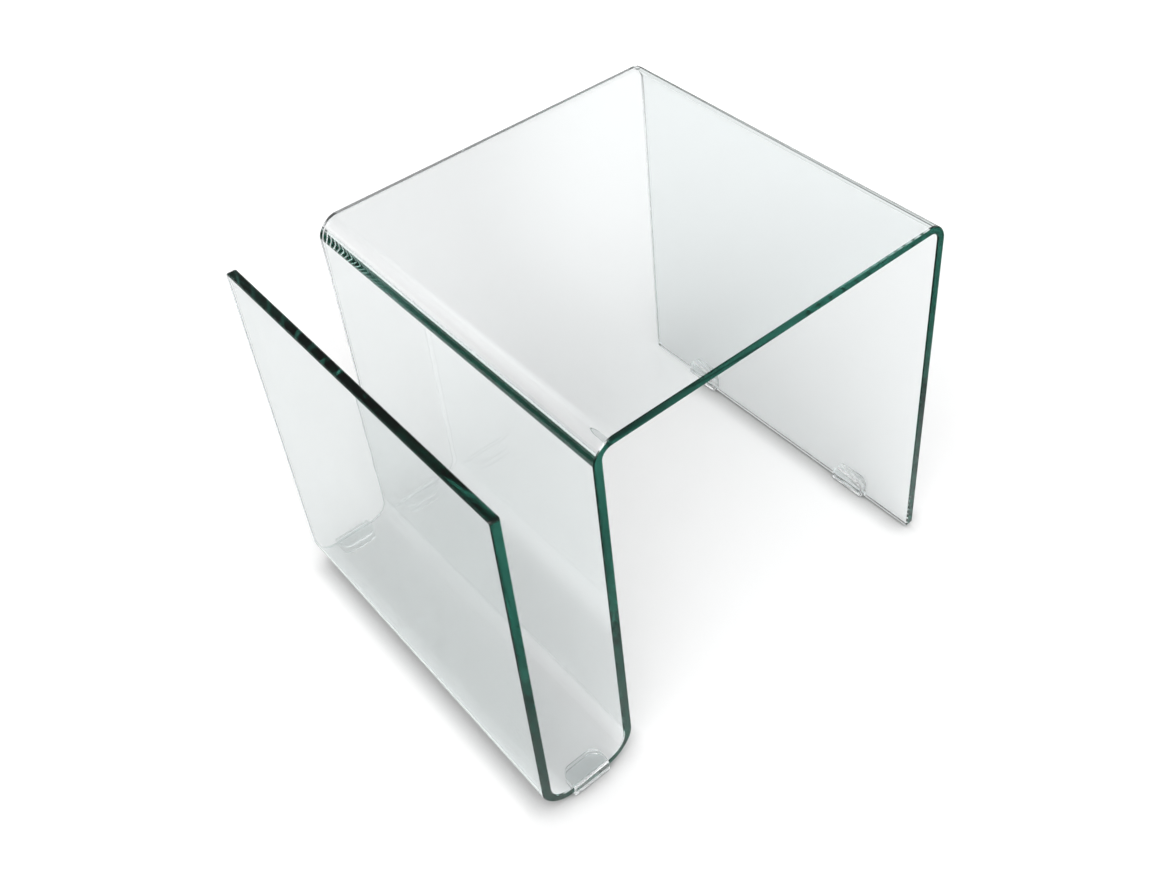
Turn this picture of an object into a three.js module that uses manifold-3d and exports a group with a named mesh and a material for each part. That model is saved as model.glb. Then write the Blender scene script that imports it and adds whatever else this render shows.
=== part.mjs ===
// Side table with a magazine pocket, bent from one sheet of clear glass, on four push-on clips.
// Millimetres, +Z up. The pocket is at -X and the leg at +X.
// The origin is on the floor, under the middle of the whole table with its clips.
import * as THREE from "three";
import { mergeVertices } from "three/addons/utils/BufferGeometryUtils.js";
import Module from "manifold-3d";

// Driving sizes of the glass
const glassThickness = 10;
const glassLength = 520;
const glassDepth = 420;
const tableHeight = 426;
const pocketHeight = 418;
const pocketFloorFlat = 42;
const arris = 1.2;
const freeCornerRadius = 4;

// Bends, measured to the middle of the glass. The glass draws thinner half way round each.
const tableBend = 18;
const pocketBend = 28;
const bendThinningShare = 0.1;

// Driving sizes of a clip
const clipWall = 3;
const clipGrip = 20;
const clipCorner = 11;
const clipLip = 1;
const clipHeel = 1.4;
const legClipInset = 87.5;

// Fits
const clipClearance = 0.3;
const cutOverrun = 5;

// How finely the rounds are stepped
const bendSteps = 16;
const freeCornerSteps = 5;
const clipEdgeSteps = 4;
const clipCornerSteps = 12;

// Sizes that follow from the ones above
const quarter = Math.PI / 2;
const halfGlass = glassThickness / 2;
const glassUnderside = clipWall + clipClearance;
const clipSlot = glassThickness + clipClearance * 2;
const clipWidth = clipSlot + clipWall * 2;
const clipReach = clipWall + clipClearance + clipGrip;
const clipLength = pocketFloorFlat;
const pocketWidth = pocketFloorFlat + (pocketBend - halfGlass) * 2;
const glassLeft = -(glassLength + glassUnderside) / 2;
const panelMiddle = glassLeft + halfGlass;
const wallMiddle = panelMiddle + pocketWidth + glassThickness;
const legMiddle = glassLeft + glassLength - halfGlass;
const pocketMiddle = (panelMiddle + wallMiddle) / 2;
const pocketFloorMiddle = glassUnderside + halfGlass;
const tableTopMiddle = tableHeight - halfGlass;

const glassMaterial = new THREE.MeshStandardMaterial({
  color: 0xcfe6df,
  roughness: 0.02,
  metalness: 0,
  transparent: true,
  opacity: 0.4,
});
const clipMaterial = new THREE.MeshStandardMaterial({
  color: 0xe6ecec,
  roughness: 0.15,
  metalness: 0,
  transparent: true,
  opacity: 0.65,
});

// Distances from a free end of the sheet at which its section is drawn
function freeEndDistances() {
  const distances = [0, arris];
  for (let step = 1; step <= freeCornerSteps; step += 1) {
    const turn = (quarter * step) / freeCornerSteps;
    distances.push(freeCornerRadius * (1 - Math.cos(turn)));
  }
  return distances.sort((one, other) => one - other);
}

// Stations round one bend, from the line that arrives at its corner to the line that leaves it.
// Each holds its share of the full thickness.
function bendStations(before, corner, after, radius) {
  const arriving = corner.clone().sub(before).normalize();
  const leaving = after.clone().sub(corner).normalize();
  const centre = corner.clone();
  centre.addScaledVector(arriving, -radius);
  centre.addScaledVector(leaving, radius);
  const stations = [];
  for (let step = 0; step <= bendSteps; step += 1) {
    const turn = (quarter * step) / bendSteps;
    const point = centre.clone();
    point.addScaledVector(arriving, radius * Math.sin(turn));
    point.addScaledVector(leaving, -radius * Math.cos(turn));
    const along = arriving.clone().multiplyScalar(Math.cos(turn));
    along.addScaledVector(leaving, Math.sin(turn));
    const thickShare = 1 - bendThinningShare * Math.sin(turn * 2) ** 2;
    stations.push({ point, along, fromEnd: Infinity, thickShare });
  }
  return stations;
}

// Stations along the middle of the glass: down the pocket panel, along the pocket floor,
// up the wall, across the top and down the leg. A Vector2 holds X and Z.
function sheetStations() {
  const corners = [
    new THREE.Vector2(panelMiddle, pocketHeight),
    new THREE.Vector2(panelMiddle, pocketFloorMiddle),
    new THREE.Vector2(wallMiddle, pocketFloorMiddle),
    new THREE.Vector2(wallMiddle, tableTopMiddle),
    new THREE.Vector2(legMiddle, tableTopMiddle),
    new THREE.Vector2(legMiddle, glassUnderside),
  ];
  const bends = [pocketBend, pocketBend, tableBend, tableBend];
  const down = new THREE.Vector2(0, -1);
  const distances = freeEndDistances();
  const stations = [];
  for (const distance of distances) {
    const point = corners[0].clone().addScaledVector(down, distance);
    stations.push({ point, along: down, fromEnd: distance, thickShare: 1 });
  }
  bends.forEach((radius, at) => {
    const [before, corner, after] = corners.slice(at, at + 3);
    stations.push(...bendStations(before, corner, after, radius));
  });
  for (const distance of distances.reverse()) {
    const point = corners.at(-1).clone().addScaledVector(down, -distance);
    stations.push({ point, along: down, fromEnd: distance, thickShare: 1 });
  }
  return stations;
}

// The eight corners of the section at a station. The long edges carry an arris, and close to
// a free end the section shrinks for the end's own arrises and for the rounded corners.
function sectionRing({ point, along, fromEnd, thickShare }) {
  const toRound = Math.max(0, freeCornerRadius - fromEnd);
  const cornerSpan = Math.sqrt(freeCornerRadius ** 2 - toRound ** 2);
  const thick = halfGlass * thickShare - Math.max(0, arris - fromEnd);
  const wide = glassDepth / 2 - freeCornerRadius + cornerSpan;
  const corners = [
    [thick, arris - wide],
    [thick, wide - arris],
    [thick - arris, wide],
    [arris - thick, wide],
    [-thick, wide - arris],
    [-thick, arris - wide],
    [arris - thick, -wide],
    [thick - arris, -wide],
  ];
  return corners.map(([out, across]) => [
    point.x + out * along.y,
    across,
    point.y - out * along.x,
  ]);
}

// The sheet joins the rings of all stations and closes the first and the last
function bentSheet() {
  const rings = sheetStations().map(sectionRing);
  const size = rings[0].length;
  const triangles = [];
  for (let ring = 0; ring + 1 < rings.length; ring += 1) {
    const here = ring * size;
    const next = here + size;
    for (let side = 0; side < size; side += 1) {
      const turned = (side + 1) % size;
      triangles.push(here + side, here + turned, next + turned);
      triangles.push(here + side, next + turned, next + side);
    }
  }
  const last = (rings.length - 1) * size;
  for (let side = 1; side + 1 < size; side += 1) {
    triangles.push(0, side + 1, side);
    triangles.push(last, last + side, last + side + 1);
  }
  const geometry = new THREE.BufferGeometry();
  geometry.setAttribute("position", new THREE.Float32BufferAttribute(rings.flat(2), 3));
  geometry.setIndex(triangles);
  geometry.computeVertexNormals();
  const mesh = new THREE.Mesh(geometry, glassMaterial);
  mesh.name = "bent_glass_sheet";
  return mesh;
}

const wasm = await Module();
wasm.setup();

function toSolid(geometry) {
  const bare = geometry.index ? geometry.toNonIndexed() : geometry;
  bare.deleteAttribute("normal");
  bare.deleteAttribute("uv");
  const merged = mergeVertices(bare);
  return new wasm.Manifold(
    new wasm.Mesh({
      numProp: 3,
      vertProperties: new Float32Array(merged.attributes.position.array),
      triVerts: new Uint32Array(merged.index.array),
    }),
  );
}

function toGeometry(solid) {
  const data = solid.getMesh();
  const geometry = new THREE.BufferGeometry();
  geometry.setAttribute("position", new THREE.BufferAttribute(data.vertProperties, 3));
  geometry.setIndex(new THREE.BufferAttribute(data.triVerts, 1));
  geometry.computeVertexNormals();
  return geometry;
}

// Cross-section of a clip: a channel with its web at the bottom and its mouth at the top.
// The heels and lips are rounded, and the mouth is chamfered so that it finds the glass.
function clipChannelSection() {
  const outer = clipWidth / 2;
  const inner = clipSlot / 2;
  const tip = clipReach;
  const lip = clipLip;
  const heel = clipHeel;
  const section = new THREE.Shape();
  section.moveTo(-outer + heel, 0);
  section.lineTo(outer - heel, 0);
  section.absarc(outer - heel, heel, heel, quarter * 3, quarter * 4, false);
  section.lineTo(outer, tip - lip);
  section.absarc(outer - lip, tip - lip, lip, 0, quarter, false);
  section.lineTo(inner + lip, tip);
  section.lineTo(inner, tip - lip);
  section.lineTo(inner, clipWall);
  section.lineTo(-inner, clipWall);
  section.lineTo(-inner, tip - lip);
  section.lineTo(-inner - lip, tip);
  section.lineTo(-outer + lip, tip);
  section.absarc(-outer + lip, tip - lip, lip, quarter, quarter * 2, false);
  section.lineTo(-outer, heel);
  section.absarc(-outer + heel, heel, heel, quarter * 2, quarter * 3, false);
  section.closePath();
  return section;
}

// Outline of a clip seen square to its tabs: straight at the web, well rounded at the tips
function clipTabOutline() {
  const end = clipLength / 2;
  const shoulder = clipReach - clipCorner;
  const outline = new THREE.Shape();
  outline.moveTo(-end, 0);
  outline.lineTo(end, 0);
  outline.lineTo(end, shoulder);
  outline.absarc(end - clipCorner, shoulder, clipCorner, 0, quarter, false);
  outline.lineTo(-end + clipCorner, clipReach);
  outline.absarc(-end + clipCorner, shoulder, clipCorner, quarter, quarter * 2, false);
  outline.closePath();
  return outline;
}

// One clip, its channel along X and its mouth towards +Z, centred on the middle of its web
function clipGeometry() {
  const channel = new THREE.ExtrudeGeometry(clipChannelSection(), {
    depth: clipLength + cutOverrun * 2,
    curveSegments: clipEdgeSteps,
    bevelEnabled: false,
  });
  channel.translate(0, 0, -clipLength / 2 - cutOverrun);
  channel.rotateX(quarter);
  channel.rotateZ(quarter);

  const blank = new THREE.ExtrudeGeometry(clipTabOutline(), {
    depth: clipWidth + cutOverrun * 2,
    curveSegments: clipCornerSteps,
    bevelEnabled: false,
  });
  blank.translate(0, 0, -clipWidth / 2 - cutOverrun);
  blank.rotateX(quarter);

  return toGeometry(toSolid(channel).intersect(toSolid(blank)));
}

// Clips pushed up over the bottom edge of the leg, one near each side of the table
function legClips(shape) {
  const clips = new THREE.Group();
  const across = glassDepth / 2 - legClipInset;
  for (const [place, side] of [["front", -1], ["rear", 1]]) {
    const clip = new THREE.Mesh(shape, clipMaterial);
    clip.name = "leg_clip_" + place;
    clip.rotation.z = quarter;
    clip.position.set(legMiddle, side * across, 0);
    clips.add(clip);
  }
  return clips;
}

// Clips pushed in over the front and rear edges of the pocket floor, each lying on one tab
function pocketClips(shape) {
  const clips = new THREE.Group();
  const across = glassDepth / 2 + glassUnderside;
  for (const [place, side] of [["front", -1], ["rear", 1]]) {
    const clip = new THREE.Mesh(shape, clipMaterial);
    clip.name = "pocket_clip_" + place;
    clip.rotation.x = side * quarter;
    clip.position.set(pocketMiddle, side * across, clipWidth / 2);
    clips.add(clip);
  }
  return clips;
}

const table = new THREE.Group();
const clipShape = clipGeometry();
table.add(bentSheet());
table.add(legClips(clipShape));
table.add(pocketClips(clipShape));

export default table;
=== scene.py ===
import math

import bpy
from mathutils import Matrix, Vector


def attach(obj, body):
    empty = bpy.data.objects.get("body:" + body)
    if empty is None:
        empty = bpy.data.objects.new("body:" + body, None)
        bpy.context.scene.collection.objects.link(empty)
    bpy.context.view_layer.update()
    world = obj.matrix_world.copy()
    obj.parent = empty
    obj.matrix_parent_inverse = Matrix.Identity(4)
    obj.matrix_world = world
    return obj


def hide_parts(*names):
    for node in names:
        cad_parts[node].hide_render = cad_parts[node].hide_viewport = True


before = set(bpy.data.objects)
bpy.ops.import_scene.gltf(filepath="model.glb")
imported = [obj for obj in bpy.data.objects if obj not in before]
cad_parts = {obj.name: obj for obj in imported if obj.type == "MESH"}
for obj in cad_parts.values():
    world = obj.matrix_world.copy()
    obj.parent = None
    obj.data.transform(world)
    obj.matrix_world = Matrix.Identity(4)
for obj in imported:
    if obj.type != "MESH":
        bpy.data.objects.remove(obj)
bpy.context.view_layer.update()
scene = bpy.context.scene
quarter = math.pi / 2


# sRGB hex to linear colour
def toLinear(hexColour):
    channels = []
    for start in (1, 3, 5):
        value = int(hexColour[start:start + 2], 16) / 255
        low = value / 12.92
        high = ((value + 0.055) / 1.055) ** 2.4
        channels.append(low if value <= 0.04045 else high)
    return (*channels, 1.0)


# Adds one node with its settings and inputs. An input is a value, a socket to link from,
# or a node whose first output is linked.
def addNode(tree, kind, settings=None, inputs=None):
    node = tree.nodes.new(kind)
    for name, value in (settings or {}).items():
        setattr(node, name, value)
    for key, value in (inputs or {}).items():
        source = value.outputs[0] if isinstance(value, bpy.types.Node) else value
        if isinstance(source, bpy.types.NodeSocket):
            tree.links.new(source, node.inputs[key])
        else:
            node.inputs[key].default_value = source
    return node


# The bent strip: a flat strip swept along a path of bends, as glass is bent over a mould.
# The path lies in XY of the tree and is stood up at the end. All edges get an arris, and
# the four free corners are rounded.
def makeBentStripTree():
    tree = bpy.data.node_groups.new("bent strip", "GeometryNodeTree")
    face = tree.interface
    face.new_socket("Path", in_out="INPUT", socket_type="NodeSocketGeometry")
    for name in ("Thickness", "Width", "Arris", "Corner radius"):
        face.new_socket(name, in_out="INPUT", socket_type="NodeSocketFloat")
    face.new_socket("Arris steps", in_out="INPUT", socket_type="NodeSocketInt")
    face.new_socket("Turn", in_out="INPUT", socket_type="NodeSocketVector")
    face.new_socket("Place", in_out="INPUT", socket_type="NodeSocketVector")
    face.new_socket("Material", in_out="INPUT", socket_type="NodeSocketMaterial")
    face.new_socket("Strip", in_out="OUTPUT", socket_type="NodeSocketGeometry")
    given = addNode(tree, "NodeGroupInput").outputs

    path = addNode(tree, "GeometryNodeMeshToCurve", inputs={"Mesh": given["Path"]})
    level = addNode(tree, "GeometryNodeSetCurveNormal", {"mode": "Z_UP"}, {"Curve": path})

    # How far each station is from the nearer free end, where the path is there, and how
    # much of the full thickness it keeps
    along = addNode(tree, "GeometryNodeSplineParameter").outputs["Length"]
    total = addNode(tree, "GeometryNodeSplineLength").outputs["Length"]
    toGo = addNode(tree, "ShaderNodeMath", {"operation": "SUBTRACT"}, {0: total, 1: along})
    nearer = addNode(tree, "ShaderNodeMath", {"operation": "MINIMUM"}, {0: along, 1: toGo})
    pathPoint = addNode(tree, "GeometryNodeInputPosition")
    thickShare = addNode(
        tree, "GeometryNodeInputNamedAttribute", {"data_type": "FLOAT"}, {"Name": "thickShare"},
    )
    capture = addNode(tree, "GeometryNodeCaptureAttribute", {"domain": "POINT"})
    capture.capture_items.new("FLOAT", "From end")
    capture.capture_items.new("VECTOR", "Path point")
    capture.capture_items.new("FLOAT", "Thick share")
    tree.links.new(level.outputs[0], capture.inputs["Geometry"])
    tree.links.new(nearer.outputs[0], capture.inputs["From end"])
    tree.links.new(pathPoint.outputs[0], capture.inputs["Path point"])
    tree.links.new(thickShare.outputs["Attribute"], capture.inputs["Thick share"])
    station = capture.outputs

    blank = addNode(
        tree, "GeometryNodeCurvePrimitiveQuadrilateral", {"mode": "RECTANGLE"},
        {"Width": given["Thickness"], "Height": given["Width"]},
    )
    section = addNode(
        tree, "GeometryNodeFilletCurve", {"mode": "POLY"},
        {"Curve": blank, "Radius": given["Arris"], "Count": given["Arris steps"]},
    )
    swept = addNode(
        tree, "GeometryNodeCurveToMesh",
        inputs={"Curve": station["Geometry"], "Profile Curve": section, "Fill Caps": True},
    )

    # The width drawn in for a rounded corner
    radius = given["Corner radius"]
    rest = addNode(
        tree, "ShaderNodeMath", {"operation": "SUBTRACT"}, {0: radius, 1: station["From end"]},
    )
    toRound = addNode(tree, "ShaderNodeMath", {"operation": "MAXIMUM"}, {0: rest, 1: 0.0})
    radiusSquare = addNode(
        tree, "ShaderNodeMath", {"operation": "MULTIPLY"}, {0: radius, 1: radius},
    )
    roundSquare = addNode(
        tree, "ShaderNodeMath", {"operation": "MULTIPLY"}, {0: toRound, 1: toRound},
    )
    spanSquare = addNode(
        tree, "ShaderNodeMath", {"operation": "SUBTRACT"}, {0: radiusSquare, 1: roundSquare},
    )
    span = addNode(tree, "ShaderNodeMath", {"operation": "SQRT"}, {0: spanSquare})
    widthCut = addNode(tree, "ShaderNodeMath", {"operation": "SUBTRACT"}, {0: radius, 1: span})

    # The thickness drawn in for the arris at a free end
    short = addNode(
        tree, "ShaderNodeMath", {"operation": "SUBTRACT"},
        {0: given["Arris"], 1: station["From end"]},
    )
    thickCut = addNode(tree, "ShaderNodeMath", {"operation": "MAXIMUM"}, {0: short, 1: 0.0})

    # Each point moves towards the path by these cuts, and by the thinning of its bend
    position = addNode(tree, "GeometryNodeInputPosition")
    offCentre = addNode(
        tree, "ShaderNodeVectorMath", {"operation": "SUBTRACT"},
        {0: position, 1: station["Path point"]},
    )
    parts = addNode(tree, "ShaderNodeSeparateXYZ", inputs={0: offCentre}).outputs
    thinning = addNode(
        tree, "ShaderNodeMath", {"operation": "SUBTRACT"}, {0: station["Thick share"], 1: 1.0},
    )
    thinnerX = addNode(
        tree, "ShaderNodeMath", {"operation": "MULTIPLY"}, {0: parts[0], 1: thinning},
    )
    thinnerY = addNode(
        tree, "ShaderNodeMath", {"operation": "MULTIPLY"}, {0: parts[1], 1: thinning},
    )
    faceSide = addNode(tree, "ShaderNodeMath", {"operation": "SIGN"}, {0: parts[0]})
    endCut = addNode(
        tree, "ShaderNodeMath", {"operation": "MULTIPLY"}, {0: faceSide, 1: thickCut},
    )
    moveX = addNode(tree, "ShaderNodeMath", {"operation": "SUBTRACT"}, {0: thinnerX, 1: endCut})
    edgeSide = addNode(tree, "ShaderNodeMath", {"operation": "SIGN"}, {0: parts[2]})
    cornerCut = addNode(
        tree, "ShaderNodeMath", {"operation": "MULTIPLY"}, {0: edgeSide, 1: widthCut},
    )
    moveZ = addNode(tree, "ShaderNodeMath", {"operation": "MULTIPLY"}, {0: cornerCut, 1: -1.0})
    move = addNode(tree, "ShaderNodeCombineXYZ", inputs={0: moveX, 1: thinnerY, 2: moveZ})
    trimmed = addNode(
        tree, "GeometryNodeSetPosition", inputs={"Geometry": swept, "Offset": move},
    )

    stood = addNode(
        tree, "GeometryNodeTransform",
        inputs={"Geometry": trimmed, "Rotation": (quarter, 0, 0)},
    )
    placed = addNode(
        tree, "GeometryNodeTransform",
        inputs={"Geometry": stood, "Rotation": given["Turn"], "Translation": given["Place"]},
    )
    coated = addNode(
        tree, "GeometryNodeSetMaterial",
        inputs={"Geometry": placed, "Material": given["Material"]},
    )
    real = addNode(tree, "GeometryNodeRealizeInstances", inputs={"Geometry": coated})
    addNode(tree, "NodeGroupOutput", inputs={"Strip": real})
    return tree


# Stations near a free end: the arris line and steps round the corner
def freeEndSteps(arris, cornerRadius, steps):
    turns = [quarter * step / steps for step in range(1, steps + 1)]
    return sorted([0.0, arris] + [cornerRadius * (1 - math.cos(turn)) for turn in turns])


# Points of a path through the given corners, each with its share of the full thickness. An
# arc rounds each corner, with a support point just before it and just after it.
def bentPath(corners, radii, steps, support, endSteps, thinning=0.0):
    corners = [Vector(corner) for corner in corners]
    down = (corners[1] - corners[0]).normalized()
    points = [(corners[0] + down * distance, 1.0) for distance in endSteps]
    for before, corner, after, radius in zip(corners, corners[1:], corners[2:], radii):
        arriving = (corner - before).normalized()
        leaving = (after - corner).normalized()
        points.append((corner - arriving * (radius + support), 1.0))
        for step in range(steps + 1):
            turn = quarter * step / steps
            point = corner - arriving * radius * (1 - math.sin(turn))
            point += leaving * radius * (1 - math.cos(turn))
            points.append((point, 1.0 - thinning * math.sin(turn * 2) ** 2))
        points.append((corner + leaving * (radius + support), 1.0))
    back = (corners[-2] - corners[-1]).normalized()
    points += [(corners[-1] + back * distance, 1.0) for distance in reversed(endSteps)]
    return points


# Runs the strip tree on a path and returns the plain mesh object
def makeBentStrip(name, points, inputs):
    lines = bpy.data.meshes.new(name + " path")
    edges = [(at, at + 1) for at in range(len(points) - 1)]
    lines.from_pydata([(point.x, point.y, 0) for point, share in points], edges, [])
    shares = lines.attributes.new("thickShare", "FLOAT", "POINT")
    shares.data.foreach_set("value", [share for point, share in points])
    maker = bpy.data.objects.new(name + " maker", lines)
    scene.collection.objects.link(maker)
    modifier = maker.modifiers.new("bent strip", "NODES")
    modifier.node_group = bentStripTree
    for socket in bentStripTree.interface.items_tree:
        if socket.name in inputs and socket.in_out == "INPUT":
            modifier[socket.identifier] = inputs[socket.name]
    evaluated = maker.evaluated_get(bpy.context.evaluated_depsgraph_get())
    mesh = bpy.data.meshes.new_from_object(evaluated)
    mesh.name = name
    bpy.data.objects.remove(maker)
    bpy.data.meshes.remove(lines)
    made = bpy.data.objects.new(name, mesh)
    scene.collection.objects.link(made)
    return made


# Float glass: soda-lime glass, with the green of iron in its body. The faces are fire
# polished and almost free of texture; the edges are ground, then polished.
floatGlassLook = {
    "tint": "#fffdfe",  # keeps the faces neutral beside the green of the body
    "bodyColour": "#6cc4b8",
    "bodyDensity": 8.5,
    "ior": 1.52,
    "waves": 16.0,  # per metre, so about 60 mm from crest to crest
    "waveDetail": 1.0,
    "waveStrength": 0.02,
    "waveHeight": 0.002,
    "polishMarks": 900.0,  # per metre, so about 1 mm apart
    "polishDetail": 2.0,
    "edgeRoughness": 0.05,
}


def makeFloatGlass():
    look = floatGlassLook
    material = bpy.data.materials.new("clear float glass")
    material.use_nodes = True
    tree = material.node_tree
    tree.nodes.clear()
    place = addNode(tree, "ShaderNodeTexCoord").outputs["Object"]

    # The softened sheet takes a faint wave from the mould
    wave = addNode(
        tree, "ShaderNodeTexNoise",
        inputs={"Vector": place, "Scale": look["waves"], "Detail": look["waveDetail"]},
    )
    bump = addNode(
        tree, "ShaderNodeBump",
        inputs={
            "Height": wave,
            "Strength": look["waveStrength"],
            "Distance": look["waveHeight"],
        },
    )
    # Polishing leaves the edges a little less clear than the faces
    edge = addNode(tree, "ShaderNodeAttribute", {"attribute_name": "edge"}).outputs["Fac"]
    polish = addNode(
        tree, "ShaderNodeTexNoise",
        inputs={"Vector": place, "Scale": look["polishMarks"], "Detail": look["polishDetail"]},
    )
    rough = addNode(
        tree, "ShaderNodeMapRange",
        inputs={"Value": polish, "To Min": 0.0, "To Max": look["edgeRoughness"]},
    )
    roughness = addNode(tree, "ShaderNodeMath", {"operation": "MULTIPLY"}, {0: rough, 1: edge})
    glass = addNode(
        tree, "ShaderNodeBsdfPrincipled",
        inputs={
            "Base Color": toLinear(look["tint"]),
            "Roughness": roughness,
            "IOR": look["ior"],
            "Transmission Weight": 1.0,
            "Normal": bump,
        },
    )
    body = addNode(
        tree, "ShaderNodeVolumeAbsorption",
        inputs={"Color": toLinear(look["bodyColour"]), "Density": look["bodyDensity"]},
    )
    addNode(tree, "ShaderNodeOutputMaterial", inputs={"Surface": glass, "Volume": body})
    return material


# Clear flexible PVC, extruded: slightly cloudy, with a soft shine. The real clips touch the
# glass and hardly reflect against it. These stand just off it, so their IOR is a low one.
clearPvcLook = {
    "colour": "#fbfdfd",
    "ior": 1.33,
    "haze": 260.0,  # per metre, so about 4 mm apart
    "hazeDetail": 3.0,
    "leastRoughness": 0.02,
    "mostRoughness": 0.1,
    "bumpStrength": 0.03,
    "bumpHeight": 0.0002,
}


def makeClearPvc():
    look = clearPvcLook
    material = bpy.data.materials.new("clear flexible PVC")
    material.use_nodes = True
    tree = material.node_tree
    tree.nodes.clear()
    place = addNode(tree, "ShaderNodeTexCoord").outputs["Object"]
    haze = addNode(
        tree, "ShaderNodeTexNoise",
        inputs={"Vector": place, "Scale": look["haze"], "Detail": look["hazeDetail"]},
    )
    rough = addNode(
        tree, "ShaderNodeMapRange",
        inputs={
            "Value": haze,
            "To Min": look["leastRoughness"],
            "To Max": look["mostRoughness"],
        },
    )
    bump = addNode(
        tree, "ShaderNodeBump",
        inputs={
            "Height": haze,
            "Strength": look["bumpStrength"],
            "Distance": look["bumpHeight"],
        },
    )
    plastic = addNode(
        tree, "ShaderNodeBsdfPrincipled",
        inputs={
            "Base Color": toLinear(look["colour"]),
            "Roughness": rough,
            "IOR": look["ior"],
            "Transmission Weight": 1.0,
            "Normal": bump,
        },
    )
    addNode(tree, "ShaderNodeOutputMaterial", inputs={"Surface": plastic})
    return material


floatGlass = makeFloatGlass()
clearPvc = makeClearPvc()
bentStripTree = makeBentStripTree()
print("materials and the strip tree are made")

# The glass sheet, in metres. Its bends are measured to the middle of the glass.
sheet = {
    "length": 0.520,
    "depth": 0.420,
    "height": 0.426,
    "thickness": 0.010,
    "pocketFlat": 0.042,
    "pocketHeight": 0.418,
    "pocketBend": 0.028,
    "tableBend": 0.017,
    "bendThinning": 0.2,  # share of the thickness that is lost half way round
    "bendSteps": 48,
    "support": 0.002,
    "arris": 0.0012,
    "arrisSteps": 1,
    "arrisSatin": 6.0,  # times as rough as the polished edge
    "cornerRadius": 0.004,
    "cornerSteps": 8,
    "sharpAngle": 25,
    "squareFrom": 0.95,  # how square to the outside a face of the polished edge lies at least
}

# One clip, in metres: a channel of clear PVC with half-moon tabs, as long as the flat of
# the pocket floor
clip = {
    "wall": 0.003,
    "clearance": 0.0003,
    "grip": 0.020,
    "heel": 0.0018,
    "heelSteps": 8,
    "support": 0.0004,
    "edgeRound": 0.0006,
    "edgeSteps": 3,
    "tabRadius": 0.011,
    "tabSteps": 16,
    "sharpAngle": 40,
    "legInset": 0.0875,
}

# Places that the glass and the clips share. The X of panel, wall and leg is mid-glass.
half = sheet["thickness"] / 2
underside = clip["wall"] + clip["clearance"]
panelX = -(sheet["length"] + underside) / 2 + half
wallX = panelX + sheet["pocketFlat"] + sheet["pocketBend"] * 2
legX = panelX + sheet["length"] - sheet["thickness"]


def makeGlassSheet():
    floor = underside + half
    top = sheet["height"] - half
    corners = [
        (panelX, sheet["pocketHeight"]),
        (panelX, floor),
        (wallX, floor),
        (wallX, top),
        (legX, top),
        (legX, underside),
    ]
    radii = [sheet["pocketBend"]] * 2 + [sheet["tableBend"]] * 2
    endSteps = freeEndSteps(sheet["arris"], sheet["cornerRadius"], sheet["cornerSteps"])
    points = bentPath(
        corners, radii, sheet["bendSteps"], sheet["support"], endSteps, sheet["bendThinning"],
    )
    made = makeBentStrip("bentGlassSheet", points, {
        "Thickness": sheet["thickness"],
        "Width": sheet["depth"],
        "Arris": sheet["arris"],
        "Corner radius": sheet["cornerRadius"],
        "Arris steps": sheet["arrisSteps"],
        "Turn": (0, 0, 0),
        "Place": (0, 0, 0),
        "Material": floatGlass,
    })
    mesh = made.data
    mesh.shade_smooth()
    mesh.set_sharp_from_angle(angle=math.radians(sheet["sharpAngle"]))
    # Mark the faces of the polished edges, which lie square, and of their satin arrises
    marks = mesh.attributes.new("edge", "FLOAT", "FACE")
    for polygon, mark in zip(mesh.polygons, marks.data):
        centre = polygon.center
        onSide = abs(centre.y) > sheet["depth"] / 2 - sheet["arris"]
        onPanelEnd = centre.x < panelX + half and centre.z > sheet["pocketHeight"] - sheet["arris"]
        onLegEnd = centre.x > legX - half and centre.z < underside + sheet["arris"]
        if onSide or onPanelEnd or onLegEnd:
            outward = abs(polygon.normal.y if onSide else polygon.normal.z)
            mark.value = 1.0 if outward > sheet["squareFrom"] else sheet["arrisSatin"]
    return made


def makeClip(name, turn, place):
    reach = underside + clip["grip"]
    web = clip["wall"] / 2
    side = half + clip["clearance"] + web
    corners = [(-side, reach), (-side, web), (side, web), (side, reach)]
    radii = [clip["heel"]] * 2
    endSteps = freeEndSteps(clip["edgeRound"], clip["tabRadius"], clip["tabSteps"])
    points = bentPath(corners, radii, clip["heelSteps"], clip["support"], endSteps)
    made = makeBentStrip(name, points, {
        "Thickness": clip["wall"],
        "Width": sheet["pocketFlat"],
        "Arris": clip["edgeRound"],
        "Corner radius": clip["tabRadius"],
        "Arris steps": clip["edgeSteps"],
        "Turn": turn,
        "Place": place,
        "Material": clearPvc,
    })
    made.data.shade_smooth()
    made.data.set_sharp_from_angle(angle=math.radians(clip["sharpAngle"]))
    return made


pieces = {"bent_glass_sheet": makeGlassSheet()}
print("glass sheet is bent")

for place, side in (("front", -1), ("rear", 1)):
    across = side * (sheet["depth"] / 2 - clip["legInset"])
    spot = (legX, across, 0.0)
    pieces["leg_clip_" + place] = makeClip("legClip" + place.title(), (0, 0, 0), spot)
for place, side in (("front", -1), ("rear", 1)):
    across = side * (sheet["depth"] / 2 + underside)
    spot = ((panelX + wallX) / 2, across, underside + half)
    turn = (0, -side * quarter, quarter)
    pieces["pocket_clip_" + place] = makeClip("pocketClip" + place.title(), turn, spot)
print("four clips are on")

for node, piece in pieces.items():
    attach(piece, "root")
    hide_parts(node)


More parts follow.
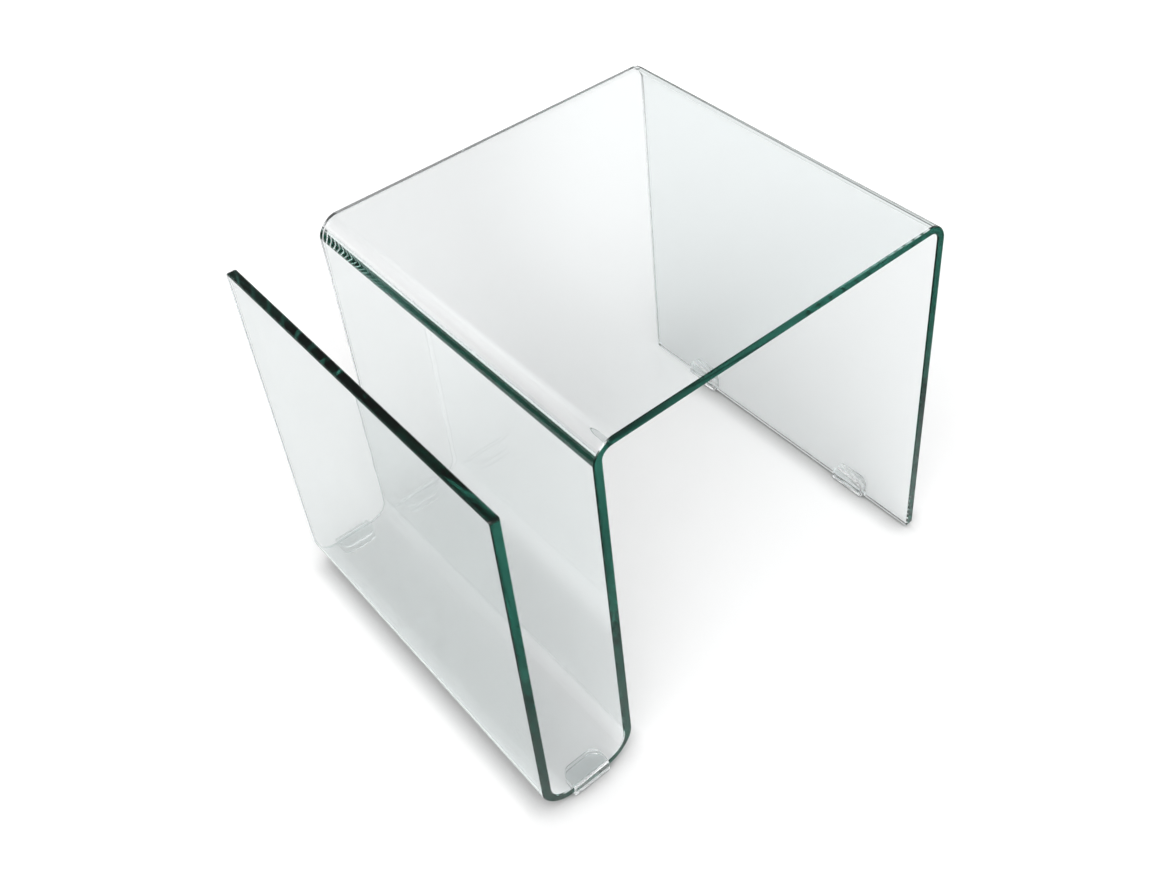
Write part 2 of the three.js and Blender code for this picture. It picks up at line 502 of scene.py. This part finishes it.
# White floor with a slight gloss, just under the clips. It keeps the table's soft shadow.
# Distances are from the middle of the table, and a pair is where a change starts and ends.
ground = {
    "halfSide": 12.0,
    "level": -0.0003,
    "paint": "#d3d3d3",
    "roughness": 0.1,
    "ior": 1.35,
    "liftDistances": (0.4, 1.1),
    "nearLift": 0.36,
    "farLift": 0.56,
    "liftThroughGlass": 0.4,
    "dark": "#202020",
    "frontEnd": (-0.45, -0.2),  # along Y
    "frontDarkness": 0.9,
    "farEnd": (1.15, 1.5),
    "farDarkness": 0.85,
    "contactReach": 0.03,
    "contactSamples": 8,
    "contactOpenness": (0.2, 0.95),
    "contactDarkness": 0.8,
}


def makeFloor():
    size = ground["halfSide"]
    level = ground["level"]
    mesh = bpy.data.meshes.new("floor")
    mesh.from_pydata(
        [(-size, -size, level), (size, -size, level), (size, size, level), (-size, size, level)],
        [], [(0, 1, 2, 3)],
    )
    floor = bpy.data.objects.new("studioFloor", mesh)
    scene.collection.objects.link(floor)
    material = bpy.data.materials.new("white gloss floor")
    material.use_nodes = True
    tree = material.node_tree
    tree.nodes.clear()
    paint = addNode(
        tree, "ShaderNodeBsdfPrincipled",
        inputs={
            "Base Color": toLinear(ground["paint"]),
            "Roughness": ground["roughness"],
            "IOR": ground["ior"],
        },
    )
    rays = addNode(tree, "ShaderNodeLightPath").outputs
    place = addNode(tree, "ShaderNodeTexCoord").outputs["Object"]
    away = addNode(tree, "ShaderNodeVectorMath", {"operation": "LENGTH"}, {0: place})
    distance = away.outputs["Value"]

    # The camera sees pure white, lifted a little more away from the table's own shade
    lift = addNode(
        tree, "ShaderNodeMapRange", {"interpolation_type": "SMOOTHSTEP"},
        {
            "Value": distance,
            "From Min": ground["liftDistances"][0],
            "From Max": ground["liftDistances"][1],
            "To Min": ground["nearLift"],
            "To Max": ground["farLift"],
        },
    )
    direct = addNode(
        tree, "ShaderNodeMath", {"operation": "MULTIPLY"}, {0: rays["Is Camera Ray"], 1: lift},
    )
    through = addNode(
        tree, "ShaderNodeMath", {"operation": "MULTIPLY"},
        {0: rays["Is Transmission Ray"], 1: ground["liftThroughGlass"]},
    )
    strength = addNode(tree, "ShaderNodeMath", {"operation": "ADD"}, {0: direct, 1: through})
    glow = addNode(
        tree, "ShaderNodeEmission", inputs={"Color": toLinear("#ffffff"), "Strength": strength},
    )
    white = addNode(tree, "ShaderNodeAddShader", inputs={0: paint, 1: glow})

    # Light that has turned on or inside the glass finds the floor dark in front of the
    # table and far off to the other sides, as if the studio sweep ended there
    depth = addNode(tree, "ShaderNodeSeparateXYZ", inputs={0: place}).outputs[1]
    front = addNode(
        tree, "ShaderNodeMapRange", {"interpolation_type": "SMOOTHSTEP"},
        {
            "Value": depth,
            "From Min": ground["frontEnd"][0],
            "From Max": ground["frontEnd"][1],
            "To Min": ground["frontDarkness"],
            "To Max": 0.0,
        },
    )
    far = addNode(
        tree, "ShaderNodeMapRange", {"interpolation_type": "SMOOTHSTEP"},
        {
            "Value": distance,
            "From Min": ground["farEnd"][0],
            "From Max": ground["farEnd"][1],
            "To Min": 0.0,
            "To Max": ground["farDarkness"],
        },
    )
    beyond = addNode(tree, "ShaderNodeMath", {"operation": "MAXIMUM"}, {0: front, 1: far})
    turned = addNode(
        tree, "ShaderNodeMath", {"operation": "MINIMUM"}, {0: rays["Glossy Depth"], 1: 1.0},
    )
    ended = addNode(tree, "ShaderNodeMath", {"operation": "MULTIPLY"}, {0: beyond, 1: turned})

    # A soft contact shadow close to the glass and the clips, as in the photograph
    openSky = addNode(
        tree, "ShaderNodeAmbientOcclusion", {"samples": ground["contactSamples"]},
        {"Distance": ground["contactReach"]},
    )
    contact = addNode(
        tree, "ShaderNodeMapRange",
        inputs={
            "Value": openSky.outputs["AO"],
            "From Min": ground["contactOpenness"][0],
            "From Max": ground["contactOpenness"][1],
            "To Min": ground["contactDarkness"],
            "To Max": 0.0,
        },
    )
    shadow = addNode(
        tree, "ShaderNodeMath", {"operation": "MULTIPLY"}, {0: contact, 1: rays["Is Camera Ray"]},
    )
    darkness = addNode(tree, "ShaderNodeMath", {"operation": "MAXIMUM"}, {0: ended, 1: shadow})
    dark = addNode(tree, "ShaderNodeBsdfDiffuse", inputs={"Color": toLinear(ground["dark"])})
    mixed = addNode(tree, "ShaderNodeMixShader", inputs={0: darkness, 1: white, 2: dark})
    addNode(tree, "ShaderNodeOutputMaterial", inputs={"Surface": mixed})
    mesh.materials.append(material)


# White studio walls under a grey ceiling. A light's spread is the cosines of the angles from
# its middle at which it starts and is full.
studio = {
    "wallLevel": 1.0,
    "ceilingLevel": 0.16,
    "wallTop": (0.2, 0.42),  # upward parts of the directions between which the ceiling starts
    "lights": [
        # One large soft light high up behind the camera
        {"towards": (-0.45, -0.5, 0.74), "spread": (0.78, 0.88), "level": 3.4},
        # A lit panel high at the back right, which the long edges of the glass look up to
        {"towards": (0.64, 0.54, 0.545), "spread": (0.955, 0.985), "level": 0.8},
    ],
}


def makeWorld():
    world = bpy.data.worlds.new("studio")
    scene.world = world
    world.use_nodes = True
    tree = world.node_tree
    tree.nodes.clear()
    direction = addNode(tree, "ShaderNodeTexCoord").outputs["Generated"]
    height = addNode(tree, "ShaderNodeSeparateXYZ", inputs={0: direction}).outputs[2]
    lit = addNode(
        tree, "ShaderNodeMapRange", {"interpolation_type": "SMOOTHSTEP"},
        {
            "Value": height,
            "From Min": studio["wallTop"][0],
            "From Max": studio["wallTop"][1],
            "To Min": studio["wallLevel"],
            "To Max": studio["ceilingLevel"],
        },
    )
    for light in studio["lights"]:
        facing = addNode(
            tree, "ShaderNodeVectorMath", {"operation": "DOT_PRODUCT"},
            {0: direction, 1: Vector(light["towards"]).normalized()},
        )
        disc = addNode(
            tree, "ShaderNodeMapRange", {"interpolation_type": "SMOOTHSTEP"},
            {
                "Value": facing.outputs["Value"],
                "From Min": light["spread"][0],
                "From Max": light["spread"][1],
                "To Min": 0.0,
                "To Max": light["level"],
            },
        )
        lit = addNode(tree, "ShaderNodeMath", {"operation": "ADD"}, {0: lit, 1: disc})

    # The camera sees pure white, directly and through the glass
    rays = addNode(tree, "ShaderNodeLightPath").outputs
    turns = addNode(
        tree, "ShaderNodeMath", {"operation": "ADD"},
        {0: rays["Glossy Depth"], 1: rays["Diffuse Depth"]},
    )
    seen = addNode(tree, "ShaderNodeMath", {"operation": "SUBTRACT"}, {0: 1.0, 1: turns})
    strength = addNode(tree, "ShaderNodeMath", {"operation": "MAXIMUM"}, {0: lit, 1: seen})
    back = addNode(
        tree, "ShaderNodeBackground",
        inputs={"Color": toLinear("#ffffff"), "Strength": strength},
    )
    addNode(tree, "ShaderNodeOutputWorld", inputs={"Surface": back})


# The photographed view. Lens and sensor are in millimetres, and the turn is in degrees.
view = {
    "place": (-0.56927, -0.80066, 1.16568),
    "turn": (49.4802, 3.4777, -40.5934),
    "sensor": 36.0,
    "lens": 40.86,
    "shift": (-0.03833, -0.10439),
    "clipping": (0.01, 100.0),
}


def makeCamera():
    data = bpy.data.cameras.new("view")
    data.sensor_width = view["sensor"]
    data.lens = view["lens"]
    data.shift_x, data.shift_y = view["shift"]
    data.clip_start, data.clip_end = view["clipping"]
    camera = bpy.data.objects.new("view", data)
    camera.location = view["place"]
    camera.rotation_euler = [math.radians(angle) for angle in view["turn"]]
    scene.collection.objects.link(camera)
    scene.camera = camera


makeFloor()
makeWorld()
makeCamera()

# Light crosses the sheet many times on its way along it
glassBounces = 128
scene.cycles.max_bounces = glassBounces
scene.cycles.transmission_bounces = glassBounces
scene.cycles.glossy_bounces = glassBounces
scene.cycles.transparent_max_bounces = 32
scene.cycles.caustics_refractive = True
scene.cycles.caustics_reflective = True
scene.view_settings.view_transform = "Standard"
print("studio is set")
